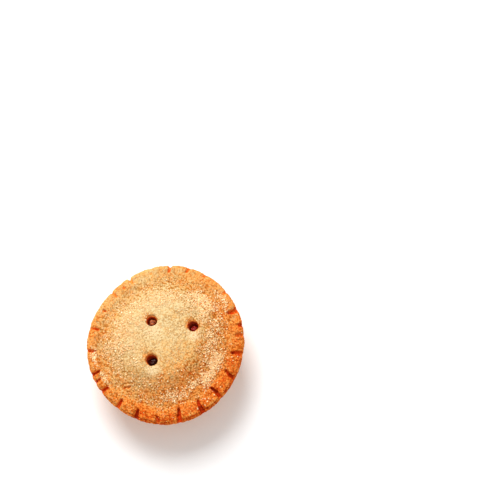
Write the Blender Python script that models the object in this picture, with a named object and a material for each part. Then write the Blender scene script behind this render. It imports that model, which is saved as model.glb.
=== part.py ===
"""Mince pie: a round shortcrust pie with a hand-crimped rim, and three vents that show the filling.

A Blender 4.5 script in metres with +Z up. The origin is the middle of the flat base, +X points to
the viewer's right and +Y away from the viewer. The case and the lid are crimped into one piece of
pastry. In each vent lies a lump of mincemeat, a piece of its own.
"""

import math
from typing import NamedTuple

import bmesh
import bpy
from mathutils import Matrix, Vector, noise

# Outline of the crimped rim, seen from above: slightly oval, a little three-sided and a little squared
RIM_RADIUS = 0.0359
OVAL_SHARE = 0.0285
OVAL_DIRECTION = math.radians(65)
TRIANGLE_SHARE = 0.0072
TRIANGLE_DIRECTION = math.radians(61)
SQUARE_SHARE = 0.005

# Heights of the pie
RIM_TOP = 0.0225
DOME_RISE = 0.0052
CROWN_RISE = 0.0014

# Lip, the pressed edge where the lid meets the case
LIP_REACH = 0.0019
LIP_HALF_THICKNESS = 0.0019
LIP_TUCK = 0.0024
LIP_TUCK_DROP = 0.0008
LIP_HEALED = 1.6

# Case below the lip
BASE_RADIUS = 0.0262
BASE_EDGE = 0.0026
WALL_BELLY = 0.0006

# Lid, with distances from the middle as shares of the outline
VALLEY_SHARE = 0.81
VALLEY_WIDTH = 0.10
VALLEY_DIP = 0.00025
APEX_SHIFT_X = -0.0016
APEX_SHIFT_Y = 0.0005
FLANK_STEEP = 0.42
FLANK_GENTLE = 0.64
GENTLE_SIDE = math.radians(-42)

# Crimps, wedge-shaped grooves that widen towards the edge
CRIMP_DEPTH = 0.00175
CRIMP_NICK = 0.0002
CRIMP_INNER_HALF = 0.0007
CRIMP_OUTER_HALF = 0.00135
CRIMP_STEEPNESS = 0.65
CRIMP_FADE = 0.035


class Crimp(NamedTuple):
    """One press of the edge.

    Its direction is in degrees, anticlockwise from +X, and its strength a share of CRIMP_DEPTH. Its
    start and end are shares of the outline, its slant and bend say how far it strays sideways, and
    its nick how far it pushes the rim in.
    """

    direction: float
    strength: float
    start: float
    end: float
    slant: float = 0.0
    bend: float = 0.0
    nick: float = CRIMP_NICK


# A hand pressed them, so they follow no rule.
CRIMPS = (
    Crimp(-8.5, 0.85, 0.83, 0.97, 0.0002),
    Crimp(6.4, 0.35, 0.88, 0.96),
    Crimp(14.0, 0.50, 0.92, 0.97, nick=0.0),
    Crimp(27.1, 0.85, 0.84, 0.98, -0.0009, -0.0009),
    Crimp(41.6, 0.45, 0.93, 0.98),
    Crimp(61.7, 0.50, 0.93, 0.98, -0.0008),
    Crimp(74.0, 0.90, 0.91, 1.02, -0.0017, nick=0.0004),
    Crimp(87.8, 0.80, 0.89, 1.00, -0.0008, nick=0.0012),
    Crimp(102.5, 0.35, 0.89, 0.93, nick=0.0),
    Crimp(119.1, 1.00, 0.89, 1.02, nick=0.0014),
    Crimp(127.0, 0.60, 0.88, 0.93, nick=0.0),
    Crimp(136.5, 0.50, 0.88, 0.97, nick=0.0006),
    Crimp(152.0, 0.50, 0.88, 0.92, nick=0.0),
    Crimp(168.5, 0.80, 0.86, 0.96),
    Crimp(185.8, 0.80, 0.87, 0.98, -0.0010, 0.0004, nick=0.0004),
    Crimp(203.0, 0.85, 0.88, 1.00, 0.0003, 0.0003),
    Crimp(209.3, 0.65, 0.92, 1.00),
    Crimp(216.7, 1.00, 0.88, 1.02, -0.0004, 0.0007, nick=0.0004),
    Crimp(233.0, 1.00, 0.87, 0.99, 0.0007),
    Crimp(248.2, 1.00, 0.87, 0.98, 0.0008, -0.0003),
    Crimp(263.2, 0.75, 0.89, 0.96, 0.0012),
    Crimp(280.0, 1.00, 0.81, 1.00, -0.0006),
    Crimp(298.4, 1.00, 0.81, 0.97, -0.0008, -0.0007),
    Crimp(314.3, 1.00, 0.80, 0.95, 0.0002, 0.0003),
    Crimp(333.6, 0.95, 0.83, 0.97, -0.0020, -0.0003),
)

# Raised ring that the crimps are pressed into, and its pillows between two crimps
RING_START = 0.78
RING_FULL = 0.91
PILLOW_RISE = 0.00075
PILLOW_BULGE = 0.0002
PILLOW_SQUARENESS = 0.5

# Unevenness of hand-rolled pastry
LUMP_SIZE = 0.0085
LUMP_HEIGHT = 0.00042
RIPPLE_SIZE = 0.0032
RIPPLE_HEIGHT = 0.00016
RIM_WAVE_SIZE = 0.021
RIM_WAVE_HEIGHT = 0.0006
WALL_LUMP_HEIGHT = 0.00035

# Vents, poked on a slant: where each opens in the lid, and its width against VENT_RADIUS
VENTS = (
    ("upper_left", -0.0066, 0.0089, 1.00),
    ("upper_right", 0.0120, 0.0063, 0.92),
    ("lower_left", -0.0064, -0.0093, 1.05),
)
VENT_RADIUS = 0.00225
VENT_TAPER = 0.10
VENT_DEPTH = 0.0046
VENT_CLEAR = 0.0030
VENT_LEAN = math.radians(20)
VENT_LEAN_SIDE = math.radians(-45)
VENT_DIP = 0.0012
VENT_DIP_RADIUS = 0.0037
VENT_DIP_SHIFT = 0.0013
FILLING_GAP = 0.00035
FILLING_LUMPINESS = 0.10

# Fineness of the faceted surface
COLUMNS_PER_PILLOW = 6
COLUMN_CROWDING = 0.6
LID_RINGS = 20
CRIMP_RINGS = 11
CRIMP_RINGS_START = 0.80
LIP_RINGS = 6
TUCK_RINGS = 2
WALL_RINGS = 6
EDGE_RINGS = 3
VENT_SIDES = 20
FILLING_DETAIL = 3


def smooth_step(value):
    """0 below 0, 1 above 1, and an S-shaped rise between."""
    share = min(1.0, max(0.0, value))
    return share * share * (3 - 2 * share)


def turn_between(first, second):
    """The shorter turn from the first direction to the second, in radians."""
    return (second - first + math.pi) % math.tau - math.pi


def on_circle(angle, radius, height):
    """The point at a direction, a radius and a height."""
    return Vector((radius * math.cos(angle), radius * math.sin(angle), height))


def outline(angle):
    """Radius of the rim at a direction, before its crimps."""
    oval = OVAL_SHARE * math.cos(2 * (angle - OVAL_DIRECTION))
    triangle = TRIANGLE_SHARE * math.cos(3 * (angle - TRIANGLE_DIRECTION))
    square = SQUARE_SHARE * math.cos(4 * angle)
    return RIM_RADIUS * (1 + oval + triangle + square)


def from_crimp(crimp, angle, shift):
    """Distance along the rim from a crimp's middle line, which is shifted sideways, in metres."""
    return abs(turn_between(math.radians(crimp.direction), angle) * RIM_RADIUS - shift)


def crimp_groove(crimp, angle, across):
    """How deep one crimp cuts at a direction and a share of the outline, from 0 to 1."""
    progress = min(1.0, max(0.0, (across - crimp.start) / (crimp.end - crimp.start)))
    shift = crimp.slant * (progress - 0.5) + 4 * crimp.bend * progress * (1 - progress)
    half_width = CRIMP_INNER_HALF + (CRIMP_OUTER_HALF - CRIMP_INNER_HALF) * progress
    aside = from_crimp(crimp, angle, shift) / half_width
    begun = smooth_step((across - crimp.start) / CRIMP_FADE)
    ended = smooth_step((across - crimp.end) / CRIMP_FADE)
    return crimp.strength * begun * (1 - ended) * smooth_step((1 - aside) / CRIMP_STEEPNESS)


def groove(angle, across):
    """How deep the nearest crimp cuts at a direction and a share of the outline, from 0 to 1."""
    return max(crimp_groove(crimp, angle, across) for crimp in CRIMPS)


def rim_nick(angle):
    """How far the crimps push the rim in at a direction, in metres."""
    return max(
        crimp.nick * smooth_step(1 - from_crimp(crimp, angle, crimp.slant / 2) / CRIMP_OUTER_HALF)
        for crimp in CRIMPS
    )


def pillow(angle):
    """How far a direction is up the pillow between two grooves, from 0 in a groove to 1 midway."""
    turns = sorted((angle - math.radians(crimp.direction)) % math.tau for crimp in CRIMPS)
    since_last, until_next = turns[0], math.tau - turns[-1]
    share = since_last / (since_last + until_next)
    return max(0.0, 4 * share * (1 - share)) ** PILLOW_SQUARENESS


def rim_wave(angle):
    """Slow rise and fall of the rim around the pie, in metres."""
    return RIM_WAVE_HEIGHT * noise.noise(on_circle(angle, RIM_RADIUS, RIM_TOP) / RIM_WAVE_SIZE)


def lumps(x, y):
    """Low bumps over the lid, in metres."""
    coarse = noise.noise(Vector((x, y, RIM_TOP)) / LUMP_SIZE)
    fine = noise.noise(Vector((x, y, RIM_TOP)) / RIPPLE_SIZE)
    return LUMP_HEIGHT * coarse + RIPPLE_HEIGHT * fine


def dome(x, y):
    """Height of the domed middle of the lid over the valley around it, in metres."""
    angle = math.atan2(y, x)
    valley = VALLEY_SHARE * outline(angle)
    across = min(1.0, math.hypot(x, y) / valley)
    inward = 1 - across * across
    reach = min(1.0, math.hypot(x - APEX_SHIFT_X * inward, y - APEX_SHIFT_Y * inward) / valley)
    gentle = across * (0.5 + 0.5 * math.cos(turn_between(GENTLE_SIDE, angle)))
    flank = FLANK_STEEP + (FLANK_GENTLE - FLANK_STEEP) * gentle
    return DOME_RISE * smooth_step((1 - reach) / flank) + CROWN_RISE * (1 - reach * reach)


def vent_dip(x, y):
    """How far the skewer pressed the lid down around the vents, in metres, deeper where it came in."""
    dip = 0.0
    for _, vent_x, vent_y, width in VENTS:
        dip_x = vent_x - VENT_DIP_SHIFT * math.cos(VENT_LEAN_SIDE)
        dip_y = vent_y - VENT_DIP_SHIFT * math.sin(VENT_LEAN_SIDE)
        distance = math.hypot(x - dip_x, y - dip_y) / (VENT_DIP_RADIUS * width)
        dip += VENT_DIP * width * smooth_step(1 - distance)
    return dip


def lid_height(x, y):
    """Height of the lid's surface above the table, without the crimps."""
    return RIM_TOP + dome(x, y) + lumps(x, y) - vent_dip(x, y)


def rim_radius(angle):
    """Radius of the rim with its pillows and nicks."""
    return outline(angle) + PILLOW_BULGE * pillow(angle) - rim_nick(angle)


def lid_point(angle, share):
    """A point of the lid or the crimped ring, at a share of the way from the middle to the lip."""
    radius = share * (rim_radius(angle) - LIP_REACH)
    across = radius / outline(angle)
    on_ring = smooth_step((across - RING_START) / (RING_FULL - RING_START))
    in_valley = smooth_step(1 - abs(across - VALLEY_SHARE) / VALLEY_WIDTH)
    height = lid_height(radius * math.cos(angle), radius * math.sin(angle))
    height += on_ring * (PILLOW_RISE * pillow(angle) + rim_wave(angle))
    height -= CRIMP_DEPTH * groove(angle, across) + in_valley * VALLEY_DIP
    return on_circle(angle, radius, height)


def lip_point(angle, swing):
    """A point on the rounded outer edge, from the top (swing 0) to the underside (swing 1)."""
    turn = math.radians(90) * (1 - 2 * swing)
    middle = RIM_TOP - LIP_HALF_THICKNESS
    rise = lid_point(angle, 1.0).z - middle if swing < 0.5 else LIP_HALF_THICKNESS
    healed_nick = rim_nick(angle) * smooth_step(swing / LIP_HEALED)
    radius = rim_radius(angle) + healed_nick - LIP_REACH * (1 - math.cos(turn))
    return on_circle(angle, radius, middle + rise * math.sin(turn))


def wall_point(angle, share):
    """A point of the case's side, from just under the lip (share 0) to the base's edge (share 1)."""
    top_radius = outline(angle) - LIP_REACH - LIP_TUCK
    top_height = RIM_TOP - 2 * LIP_HALF_THICKNESS - LIP_TUCK_DROP
    foot_radius = BASE_RADIUS * outline(angle) / RIM_RADIUS
    height = top_height + (BASE_EDGE - top_height) * share
    belly = math.sin(math.pi * share)
    radius = top_radius + (foot_radius - top_radius) * share + WALL_BELLY * belly
    lump = WALL_LUMP_HEIGHT * noise.noise(on_circle(angle, radius, height) / LUMP_SIZE)
    return on_circle(angle, radius + lump * belly, height)


def tuck_point(angle, share):
    """A point of the lip's underside, from the lip (share 0) in to the case's side (share 1)."""
    return lip_point(angle, 1.0).lerp(wall_point(angle, 0.0), share)


def edge_point(angle, share):
    """A point of the rounded edge between the side (share 0) and the flat base (share 1)."""
    foot_radius = BASE_RADIUS * outline(angle) / RIM_RADIUS
    turn = math.radians(90) * share
    radius = foot_radius - BASE_EDGE * (1 - math.cos(turn))
    return on_circle(angle, radius, BASE_EDGE * (1 - math.sin(turn)))


def column_angles():
    """Directions of the surface's columns, crowded towards each groove."""
    angles = []
    for index, crimp in enumerate(CRIMPS):
        start = math.radians(crimp.direction)
        span = turn_between(start, math.radians(CRIMPS[(index + 1) % len(CRIMPS)].direction))
        for step in range(COLUMNS_PER_PILLOW):
            share = step / COLUMNS_PER_PILLOW
            eased = share - COLUMN_CROWDING * math.sin(math.tau * share) / math.tau
            angles.append(start + span * eased)
    return angles


def surface_rings(mesh):
    """The rings of vertices that make the pastry's surface, from the middle of the lid to the base."""
    fine = column_angles()
    coarse = fine[::2]
    stretches = (
        (lid_point, coarse, LID_RINGS, 0.0, CRIMP_RINGS_START),
        (lid_point, fine, CRIMP_RINGS, CRIMP_RINGS_START, 1.0),
        (lip_point, fine, LIP_RINGS, 0.0, 1.0),
        (tuck_point, fine, TUCK_RINGS, 0.0, 1.0),
        (wall_point, coarse, WALL_RINGS, 0.0, 1.0),
        (edge_point, coarse, EDGE_RINGS, 0.0, 1.0),
    )
    rings = []
    for point_at, angles, count, start, end in stretches:
        for step in range(1, count + 1):
            share = start + (end - start) * step / count
            rings.append([mesh.verts.new(point_at(angle, share)) for angle in angles])
    return rings


def join_rings(mesh, inner, outer):
    """Faces between two rings, of which one may have twice the columns of the other."""
    count = min(len(inner), len(outer))
    for index in range(count):
        after = (index + 1) % count
        if len(inner) == len(outer):
            mesh.faces.new((inner[index], outer[index], outer[after], inner[after]))
            continue
        fine, coarse = (outer, inner) if len(outer) > len(inner) else (inner, outer)
        first, middle, last = fine[2 * index], fine[2 * index + 1], fine[2 * after]
        for corners in (
            (coarse[index], first, middle),
            (coarse[index], middle, coarse[after]),
            (coarse[after], middle, last),
        ):
            mesh.faces.new(corners if fine is outer else corners[::-1])


def make_material(name, colour, roughness):
    """A plain Principled material."""
    material = bpy.data.materials.new(name)
    material.use_nodes = True
    shader = material.node_tree.nodes["Principled BSDF"]
    shader.inputs["Base Color"].default_value = (*colour, 1.0)
    shader.inputs["Roughness"].default_value = roughness
    shader.inputs["Metallic"].default_value = 0.0
    return material


def make_object(name, mesh, material=None):
    """Turns a bmesh into a smooth-shaded object in the scene."""
    data = bpy.data.meshes.new(name)
    mesh.to_mesh(data)
    mesh.free()
    data.shade_smooth()
    if material:
        data.materials.append(material)
    obj = bpy.data.objects.new(name, data)
    bpy.context.scene.collection.objects.link(obj)
    return obj


def build_pastry(material):
    """The case and the lid, one closed body with a flat base."""
    mesh = bmesh.new()
    rings = surface_rings(mesh)
    middle = mesh.verts.new((0.0, 0.0, lid_height(0.0, 0.0)))
    innermost = rings[0]
    for index, corner in enumerate(innermost):
        mesh.faces.new((middle, corner, innermost[(index + 1) % len(innermost)]))
    for inner, outer in zip(rings, rings[1:]):
        join_rings(mesh, inner, outer)
    mesh.faces.new(rings[-1][::-1])
    return make_object("pastry", mesh, material)


def vent_frame(x, y):
    """Places a vent: +Z runs out of its mouth along its slant, and the origin is on the lid."""
    lean_axis = Vector((math.sin(VENT_LEAN_SIDE), -math.cos(VENT_LEAN_SIDE), 0.0))
    lean = Matrix.Rotation(VENT_LEAN, 4, lean_axis)
    return Matrix.Translation((x, y, lid_height(x, y))) @ lean


def vent_radius_at(height, width):
    """Radius of the poked hole at a height along its slant, measured from the lid."""
    return VENT_RADIUS * width * (1 + VENT_TAPER * height / VENT_DEPTH)


def build_vent_cutter(name, x, y, width):
    """The skewer's tapered shape, which is cut out of the pastry."""
    mesh = bmesh.new()
    bmesh.ops.create_cone(
        mesh,
        cap_ends=True,
        segments=VENT_SIDES,
        radius1=vent_radius_at(-VENT_DEPTH, width),
        radius2=vent_radius_at(VENT_CLEAR, width),
        depth=VENT_DEPTH + VENT_CLEAR,
    )
    bmesh.ops.translate(mesh, verts=mesh.verts, vec=(0, 0, (VENT_CLEAR - VENT_DEPTH) / 2))
    cutter = make_object(f"vent_{name}_cutter", mesh)
    cutter.matrix_world = vent_frame(x, y)
    cutter.hide_render = True
    cutter.display_type = "WIRE"
    return cutter


def cut_vent(pastry, cutter):
    """Takes a vent's hole out of the pastry."""
    boolean = pastry.modifiers.new(cutter.name, "BOOLEAN")
    boolean.operation = "DIFFERENCE"
    boolean.solver = "EXACT"
    boolean.object = cutter


def build_filling(name, x, y, width, material):
    """A lump of mincemeat at the bottom of a vent."""
    radius = vent_radius_at(-VENT_DEPTH, width) - FILLING_GAP
    place_in_noise = Vector((x, y, 0.0)) / VENT_RADIUS
    mesh = bmesh.new()
    bmesh.ops.create_icosphere(mesh, subdivisions=FILLING_DETAIL, radius=radius)
    for vertex in mesh.verts:
        lump = noise.noise(vertex.co / radius + place_in_noise)
        vertex.co *= 1 - FILLING_LUMPINESS * (1 + lump)
    filling = make_object(f"mincemeat_{name}", mesh, material)
    seat = Matrix.Translation((0, 0, FILLING_GAP + radius - VENT_DEPTH))
    filling.matrix_world = vent_frame(x, y) @ seat
    return filling


def clear_scene():
    """Removes whatever the scene holds."""
    for obj in list(bpy.data.objects):
        bpy.data.objects.remove(obj)


def main():
    """Builds the pie."""
    clear_scene()
    baked = make_material("baked_pastry", (0.80, 0.48, 0.19), 0.75)
    sticky = make_material("mincemeat", (0.06, 0.018, 0.012), 0.25)
    pastry = build_pastry(baked)
    for name, x, y, width in VENTS:
        cut_vent(pastry, build_vent_cutter(name, x, y, width))
        build_filling(name, x, y, width, sticky)


main()
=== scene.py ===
"""Mince pie: the finish of a small baked pie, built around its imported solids.

The pie stands on a pale table at its real size, in metres, with +Z up. The crumbly pastry with its
crimped rim and poked vents, the sticky fruit in the vents and the sugar on the lid are each a piece
with a finish of its own, and loose crumbs of the same pastry lie over the lid. The sizes repeat those
of the solids, so that every piece lies where its solid does.
"""

import logging
import math
import random
from dataclasses import dataclass, field
from enum import Enum

import bmesh
import bpy
import numpy as np
from mathutils import Matrix, Quaternion, Vector, noise
from mathutils.bvhtree import BVHTree


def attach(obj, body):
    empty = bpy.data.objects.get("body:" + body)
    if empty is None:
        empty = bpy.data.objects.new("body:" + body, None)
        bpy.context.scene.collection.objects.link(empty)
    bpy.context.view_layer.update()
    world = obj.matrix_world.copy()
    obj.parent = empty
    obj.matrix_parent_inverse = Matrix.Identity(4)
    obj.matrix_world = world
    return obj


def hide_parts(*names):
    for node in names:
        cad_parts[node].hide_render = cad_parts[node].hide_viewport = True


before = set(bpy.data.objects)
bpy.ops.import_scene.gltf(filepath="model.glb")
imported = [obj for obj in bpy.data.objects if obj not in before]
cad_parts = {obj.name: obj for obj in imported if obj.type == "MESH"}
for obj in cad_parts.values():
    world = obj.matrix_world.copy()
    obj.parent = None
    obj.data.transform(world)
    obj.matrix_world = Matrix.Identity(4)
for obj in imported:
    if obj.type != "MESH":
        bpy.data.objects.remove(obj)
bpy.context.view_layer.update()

ROOT_BODY = "root"
LOG = logging.getLogger("mince_pie")
MM = 0.001
QUARTER_TURN = math.radians(90)
DOWN = Vector((0, 0, -1))
CRUMB_RAGGEDNESS = 0.42
CRUMB_RAG_FINENESS = 1.7
CRUMB_RAG_SEED = 7

Colour = tuple[float, float, float]
Socket = bpy.types.NodeSocket
Amount = Socket | float
Paint = Socket | Colour


class NoiseLayer(float, Enum):
    """Which noise is read, so that no two kinds of bump repeat each other."""

    LUMPS = 0.0
    RIDGES = 2.0
    VENTS = 3.0
    BAKING = 4.0
    CLUMPS = 5.0
    PITS = 7.0
    PILLOWS = 9.0


class Sum(Enum):
    """The sums of two values that the finishes need."""

    ADD = "ADD"
    SUBTRACT = "SUBTRACT"
    MULTIPLY = "MULTIPLY"


class Blend(Enum):
    """The ways in which one colour goes over another."""

    MIX = "MIX"
    MULTIPLY = "MULTIPLY"


class Trait(Enum):
    """What a mesh of pastry holds for each point, which its material reads."""

    BROWNING = "browning"
    COARSENESS = "coarseness"
    SUGAR_DUST = "sugar_dust"


def add_object(name: str, data: bpy.types.ID) -> bpy.types.Object:
    """Puts a new object in the scene.

    Args:
        name: The object's name.
        data: Its mesh, light or camera.

    Returns:
        The object.
    """
    obj = bpy.data.objects.new(name, data)
    bpy.context.scene.collection.objects.link(obj)
    return obj


def read_points(mesh: bpy.types.Mesh) -> np.ndarray:
    """Reads a mesh's points.

    Args:
        mesh: The mesh.

    Returns:
        One row of x, y and z for each point.
    """
    flat = np.empty(len(mesh.vertices) * 3, np.float32)
    mesh.vertices.foreach_get("co", flat)
    return flat.reshape(-1, 3).astype(float)


def write_trait(mesh: bpy.types.Mesh, trait: Trait, values: np.ndarray) -> None:
    """Stores one value for each point of a mesh, for the material to read."""
    attribute = mesh.attributes.new(trait.value, "FLOAT", "POINT")
    attribute.data.foreach_set("value", values.astype(np.float32))


def apply_modifiers(obj: bpy.types.Object) -> None:
    """Gives an object the mesh that its modifiers make, and removes them.

    Args:
        obj: The object.
    """
    bpy.context.view_layer.update()
    graph = bpy.context.evaluated_depsgraph_get()
    made = bpy.data.meshes.new_from_object(obj.evaluated_get(graph))
    made.name = obj.data.name
    obj.modifiers.clear()
    obj.data = made


def smooth_step(value: np.ndarray) -> np.ndarray:
    """Rises smoothly from 0, where the value is 0 or less, to 1, where it is 1 or more."""
    share = np.clip(value, 0.0, 1.0)
    return share * share * (3 - 2 * share)


def turn_between(first: np.ndarray, second: np.ndarray) -> np.ndarray:
    """Finds the shorter turns from the first directions to the second, from -pi to pi."""
    return (second - first + math.pi) % math.tau - math.pi


def on_circle(angle: np.ndarray, radius: np.ndarray, height: np.ndarray) -> np.ndarray:
    """Makes rows of x, y and z from directions, distances from the axis and heights."""
    flat = np.broadcast_arrays(radius * np.cos(angle), radius * np.sin(angle), height)
    return np.stack(flat, axis=-1)


def soft_noise(points: np.ndarray, size: float, layer: NoiseLayer = NoiseLayer.LUMPS) -> np.ndarray:
    """Reads smooth noise at rows of x, y and z, from about -0.6 to 0.6, with bumps of a size."""
    shift = Vector((layer, layer, layer))
    return np.array([noise.noise(Vector(point) / size + shift) for point in points])


def cell_distance(points: np.ndarray, size: float, layer: NoiseLayer = NoiseLayer.LUMPS) -> np.ndarray:
    """Reads how far each point is from the middle of the nearest ragged crumb.

    Args:
        points: One row of x, y and z for each point.
        size: Spacing of the crumbs, in metres.
        layer: The noise to read.

    Returns:
        Distances as shares of the spacing, 0 in the middle of a crumb.
    """
    shift = Vector((layer, layer, layer))
    found = []
    for point in points:
        place = Vector(point) / size + shift
        ragged = place + CRUMB_RAGGEDNESS * noise.noise_vector(CRUMB_RAG_FINENESS * place)
        found.append(noise.voronoi(ragged)[0][0])
    return np.array(found)


@dataclass(frozen=True)
class Vent:
    """One poked hole in the lid: where it opens, and its width against the usual one.

    Its juice is how strongly filling that bubbled up stained the pastry round its mouth.
    """

    name: str
    x: float
    y: float
    width: float
    radius: float = 2.25 * MM
    taper: float = 0.10
    depth: float = 4.6 * MM
    lean: float = math.radians(20)
    lean_side: float = math.radians(-45)
    dip: float = 1.2 * MM
    dip_radius: float = 3.7 * MM
    dip_shift: float = 1.3 * MM
    juice: float = 0.0

    def dip_at(self, x: np.ndarray, y: np.ndarray) -> np.ndarray:
        """Finds how far the skewer pressed the lid down where it went in.

        Args:
            x: Places across the lid.
            y: Places along the lid.

        Returns:
            Depths in metres.
        """
        dip_x = self.x - self.dip_shift * math.cos(self.lean_side)
        dip_y = self.y - self.dip_shift * math.sin(self.lean_side)
        distance = np.hypot(x - dip_x, y - dip_y) / (self.dip_radius * self.width)
        return self.dip * self.width * smooth_step(1 - distance)

    def radius_at(self, height: float) -> float:
        """Width of the hole at a height along its slant, measured from the lid."""
        return self.radius * self.width * (1 + self.taper * height / self.depth)

    def near(self, x: float, y: float, radii: float) -> bool:
        """Says whether a place is within so many of the hole's radii from its middle."""
        return math.hypot(x - self.x, y - self.y) < radii * self.radius * self.width

    def place(self, mouth_height: float) -> Matrix:
        """Places the vent.

        Args:
            mouth_height: Height of the lid at the vent.

        Returns:
            A frame whose +Z runs out of the mouth along the slant.
        """
        axis = Vector((math.sin(self.lean_side), -math.cos(self.lean_side), 0.0))
        lean = Matrix.Rotation(self.lean, 4, axis)
        return Matrix.Translation((self.x, self.y, mouth_height)) @ lean


@dataclass(frozen=True)
class Crimp:
    """One press of the edge.

    Its direction is in degrees, its start and end are shares of the outline, and its slant and bend
    say how far it strays sideways. Its nick is how far it pushes the rim in.
    """

    direction: float
    strength: float
    start: float
    end: float
    slant: float = 0.0
    bend: float = 0.0
    nick: float = 0.2 * MM
    inner_half: float = 0.75 * MM
    outer_half: float = 1.70 * MM
    steepness: float = 0.50
    fade: float = 0.035

    def depth_at(self, angle: np.ndarray, across: np.ndarray | float, radius: float) -> np.ndarray:
        """Finds how deep the press cuts.

        Args:
            angle: Directions, in radians.
            across: Distances from the axis as shares of the outline.
            radius: The rim's mean radius.

        Returns:
            Depths from 0 to 1.
        """
        progress = np.clip((across - self.start) / (self.end - self.start), 0.0, 1.0)
        shift = self.slant * (progress - 0.5) + self.bend * 4 * progress * (1 - progress)
        aside = np.abs(turn_between(math.radians(self.direction), angle) * radius - shift)
        half = self.inner_half + (self.outer_half - self.inner_half) * progress
        begun = smooth_step((across - self.start) / self.fade)
        ended = smooth_step((across - self.end) / self.fade)
        return self.strength * begun * (1 - ended) * smooth_step((1 - aside / half) / self.steepness)

    def nick_at(self, angle: np.ndarray, radius: float) -> np.ndarray:
        """Finds how far the press pushes the rim in.

        Args:
            angle: Directions, in radians.
            radius: The rim's mean radius.

        Returns:
            Distances in metres.
        """
        shift = self.slant / 2
        aside = np.abs(turn_between(math.radians(self.direction), angle) * radius - shift)
        return self.nick * smooth_step(1 - aside / self.outer_half)


@dataclass(frozen=True)
class Patch:
    """A place on the lid where something is stronger, or weaker where the weight is below 0.

    Its direction is in degrees, its distance a share of the outline, and each spread is how far from
    its middle it has faded to about a third.
    """

    direction: float
    direction_spread: float
    share: float
    share_spread: float
    weight: float

    def at(self, angle: np.ndarray, across: np.ndarray) -> np.ndarray:
        """Finds the patch's weight.

        Args:
            angle: Directions, in radians.
            across: Distances from the axis as shares of the outline.

        Returns:
            The weight in the middle of the patch, fading to 0 around it.
        """
        turn = np.degrees(turn_between(math.radians(self.direction), angle))
        aside = (turn / self.direction_spread) ** 2
        return self.weight * np.exp(-aside - ((across - self.share) / self.share_spread) ** 2)


@dataclass(frozen=True)
class Crack:
    """A short split in the baked lid, which wavers from side to side along its length."""

    x: float
    y: float
    length: float
    direction: float
    width: float
    depth: float
    waver: float = 0.35
    waver_rate: float = 9.0

    def depth_at(self, points: np.ndarray) -> np.ndarray:
        """Finds how deep the split is.

        Args:
            points: One row of x, y and z for each point.

        Returns:
            Depths in metres, 0 away from the split.
        """
        along_x, along_y = math.cos(self.direction), math.sin(self.direction)
        from_x, from_y = points[:, 0] - self.x, points[:, 1] - self.y
        along = from_x * along_x + from_y * along_y
        aside = from_y * along_x - from_x * along_y
        aside += self.waver * self.width * np.sin(along / self.length * self.waver_rate)
        past_end = np.maximum(0.0, np.abs(along) - self.length / 2)
        return self.depth * smooth_step(1 - np.hypot(past_end, aside) / self.width)


CRIMPS = (
    Crimp(-8.5, 0.85, 0.83, 0.97, 0.2 * MM),
    Crimp(6.4, 0.35, 0.88, 0.96),
    Crimp(14.0, 0.50, 0.92, 0.97, nick=0.0),
    Crimp(27.1, 0.85, 0.84, 0.98, -0.9 * MM, -0.9 * MM),
    Crimp(41.6, 0.45, 0.93, 0.98, outer_half=1.1 * MM),
    Crimp(61.7, 0.50, 0.93, 0.98, -0.8 * MM, outer_half=1.1 * MM),
    Crimp(74.0, 0.90, 0.91, 1.02, -1.7 * MM, nick=0.4 * MM, outer_half=1.1 * MM),
    Crimp(87.8, 0.80, 0.89, 1.00, -0.8 * MM, nick=1.2 * MM, outer_half=1.2 * MM),
    Crimp(102.5, 0.35, 0.89, 0.93, nick=0.0, outer_half=1.0 * MM),
    Crimp(119.1, 1.00, 0.89, 1.02, nick=1.4 * MM, outer_half=1.2 * MM),
    Crimp(127.0, 0.60, 0.88, 0.93, nick=0.0, outer_half=1.0 * MM),
    Crimp(136.5, 0.50, 0.88, 0.97, nick=0.6 * MM, outer_half=1.1 * MM),
    Crimp(152.0, 0.50, 0.88, 0.92, nick=0.0, outer_half=0.9 * MM),
    Crimp(168.5, 0.80, 0.86, 0.96, outer_half=0.9 * MM),
    Crimp(185.8, 0.80, 0.87, 0.98, -1.0 * MM, 0.4 * MM, nick=0.4 * MM, outer_half=1.0 * MM),
    Crimp(203.0, 0.85, 0.88, 1.00, 0.3 * MM, 0.3 * MM, outer_half=0.9 * MM),
    Crimp(209.3, 0.65, 0.92, 1.00, outer_half=0.8 * MM),
    Crimp(216.7, 1.00, 0.88, 1.02, -0.4 * MM, 0.7 * MM, nick=0.4 * MM, outer_half=1.3 * MM),
    Crimp(233.0, 1.00, 0.87, 0.99, 0.7 * MM, outer_half=1.2 * MM),
    Crimp(248.2, 1.00, 0.87, 0.98, 0.8 * MM, -0.3 * MM, outer_half=1.2 * MM),
    Crimp(263.2, 0.75, 0.89, 0.96, 1.2 * MM, outer_half=1.1 * MM),
    Crimp(280.0, 1.00, 0.81, 1.00, -0.6 * MM, outer_half=1.5 * MM),
    Crimp(298.4, 1.00, 0.81, 0.97, -0.8 * MM, -0.7 * MM, outer_half=1.4 * MM),
    Crimp(314.3, 1.00, 0.80, 0.95, 0.2 * MM, 0.3 * MM, outer_half=1.2 * MM),
    Crimp(333.6, 0.95, 0.83, 0.97, -2.0 * MM, -0.3 * MM, outer_half=1.2 * MM),
)


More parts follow.
